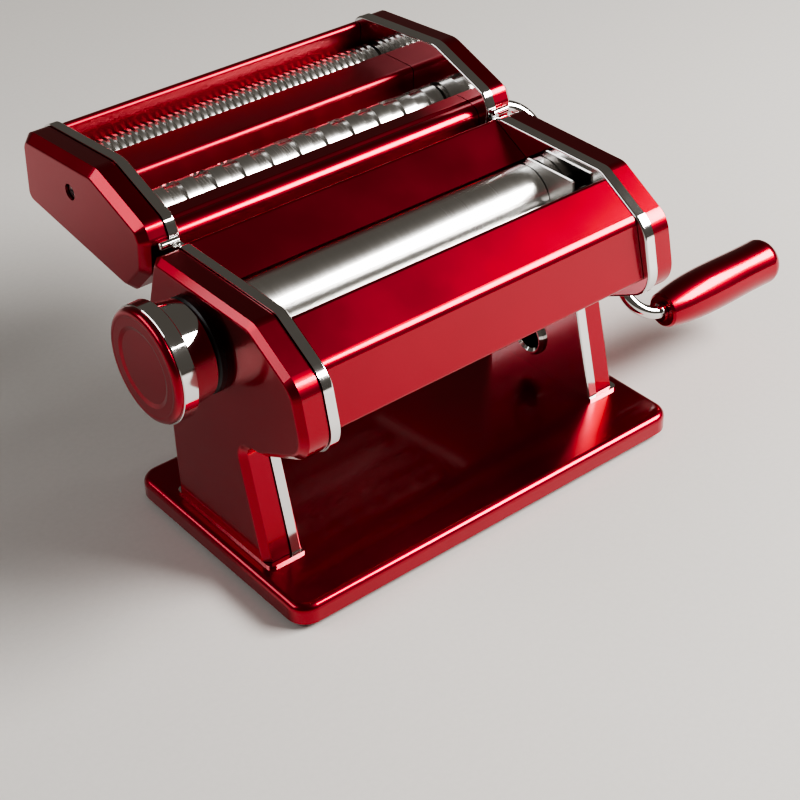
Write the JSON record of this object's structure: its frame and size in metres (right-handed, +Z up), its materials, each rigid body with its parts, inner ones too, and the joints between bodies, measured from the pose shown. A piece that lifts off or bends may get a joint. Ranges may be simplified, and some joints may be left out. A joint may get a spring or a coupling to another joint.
{
  "type": "pasta roller machine",
  "caption": "Hand-cranked pasta machine: smooth rollers set by a knob on a legged base, with a hooked-on cutter head and a plug-in crank.",
  "frame": {"origin": "middle of the base's footprint, on the surface it stands on", "axes": "+X along the rollers to the crank side, +Y to the back, where the cutter head hangs, +Z up"},
  "size_m": [0.3265, 0.2001, 0.1506],
  "materials": {
    "red_lacquer": "satin metallic crimson lacquer",
    "chrome": "mirror plated",
    "satin_aluminium": "satin anodised",
    "steel": "machined",
    "rubber": "matt",
    "black_plastic": "moulded, low sheen",
    "bush_plastic": "moulded"
  },
  "bodies": {
    "frame": {"base_plate": "red_lacquer", "rubber_feet": "rubber", "base_screws": "steel", "left_side_plate": "chrome", "right_side_plate": "chrome", "tie_rods": "steel", "tie_rod_nuts": "steel", "left_casing": "red_lacquer", "right_casing": "red_lacquer", "front_hood": "red_lacquer", "rear_hood": "red_lacquer", "clamp_eyelet": "chrome", "front_roller_bushes": "bush_plastic", "front_scraper": "steel", "rear_scraper": "steel", "knob_dial": "black_plastic", "cutter_seats": "chrome"},
    "front_roller": {"front_roller": "satin_aluminium", "front_roller_shaft": "steel", "front_roller_gear": "steel"},
    "roller_carriage": {"left_bearing_block": "steel", "right_bearing_block": "steel", "carriage_bar": "steel", "left_sheet_guide": "satin_aluminium", "right_sheet_guide": "satin_aluminium"},
    "rear_roller": {"rear_roller": "satin_aluminium", "rear_roller_shaft": "steel", "rear_roller_gear": "steel"},
    "knob_spindle": {"knob_spindle": "steel", "thickness_cam": "steel"},
    "knob": {"knob_skirt": "chrome", "knob_ring": "chrome", "knob_cap": "red_lacquer", "knob_detent_pin": "steel", "knob_spring": "steel"},
    "cutter_frame": {"left_cutter_plate": "chrome", "right_cutter_plate": "chrome", "left_cutter_cap": "red_lacquer", "right_cutter_cap": "red_lacquer", "cutter_cap_screws": "steel", "cutter_front_cover": "red_lacquer", "cutter_middle_cover": "red_lacquer", "cutter_back_cover": "red_lacquer", "cutter_tie_rods": "steel", "cutter_bushes": "bush_plastic", "cutter_hook_pins": "chrome", "fettuccine_combs": "steel", "tagliolini_combs": "steel"},
    "fettuccine_front": {"fettuccine_front_roller": "satin_aluminium", "fettuccine_front_gear": "steel"},
    "fettuccine_rear": {"fettuccine_rear_roller": "satin_aluminium", "fettuccine_rear_gear": "steel"},
    "tagliolini_front": {"tagliolini_front_roller": "satin_aluminium", "tagliolini_front_gear": "steel"},
    "tagliolini_rear": {"tagliolini_rear_roller": "satin_aluminium", "tagliolini_rear_gear": "steel"},
    "crank": {"crank_rod": "chrome"},
    "grip": {"crank_grip": "red_lacquer"}
  },
  "joints": [
    {"name": "front_roller_spin", "type": "hinge", "parent": "frame", "child": "front_roller", "pos_m": [0, -0.0272, 0.1046], "axis": [1, 0, 0], "continuous": true},
    {"name": "roller_gap", "type": "slide", "parent": "frame", "child": "roller_carriage", "axis": [0, -1, 0], "range_m": [0, 0.00421]},
    {"name": "rear_roller_spin", "type": "hinge", "parent": "roller_carriage", "child": "rear_roller", "pos_m": [0, 0.0066, 0.1046], "axis": [1, 0, 0], "continuous": true},
    {"name": "knob_turn", "type": "hinge", "parent": "frame", "child": "knob_spindle", "pos_m": [0, 0.0066, 0.103], "axis": [-1, 0, 0], "range_deg": [0, 324]},
    {"name": "knob_pull", "type": "slide", "parent": "knob_spindle", "child": "knob", "axis": [-1, 0, 0], "range_m": [0, 0.0025], "stiffness_N_per_m": 1500, "springref_m": -0.003, "deforming": ["knob_spring"]},
    {"name": "cutter_lift", "type": "slide", "parent": "frame", "child": "cutter_frame", "axis": [0, 0, 1], "range_m": [0, 0.05]},
    {"name": "fettuccine_front_spin", "type": "hinge", "parent": "cutter_frame", "child": "fettuccine_front", "pos_m": [0, 0.0575, 0.1195], "axis": [1, 0, 0], "continuous": true},
    {"name": "fettuccine_rear_spin", "type": "hinge", "parent": "cutter_frame", "child": "fettuccine_rear", "pos_m": [0, 0.07532, 0.12201], "axis": [1, 0, 0], "continuous": true},
    {"name": "tagliolini_front_spin", "type": "hinge", "parent": "cutter_frame", "child": "tagliolini_front", "pos_m": [0, 0.1038, 0.1223], "axis": [1, 0, 0], "continuous": true},
    {"name": "tagliolini_rear_spin", "type": "hinge", "parent": "cutter_frame", "child": "tagliolini_rear", "pos_m": [0, 0.12127, 0.12665], "axis": [1, 0, 0], "continuous": true},
    {"name": "crank_plug", "type": "slide", "parent": "fettuccine_front", "child": "crank", "axis": [1, 0, 0], "range_m": [0, 0.025]},
    {"name": "grip_spin", "type": "hinge", "parent": "crank", "child": "grip", "pos_m": [0, -0.02581, 0.03735], "axis": [1, 0, 0], "continuous": true}
  ],
  "couplings": [
    {"joint": "rear_roller_spin", "follows": "front_roller_spin", "ratio": -1},
    {"joint": "roller_gap", "follows": "knob_turn", "m_per_rad": 0.00074272},
    {"joint": "fettuccine_rear_spin", "follows": "fettuccine_front_spin", "ratio": -1},
    {"joint": "tagliolini_rear_spin", "follows": "tagliolini_front_spin", "ratio": -1}
  ]
}
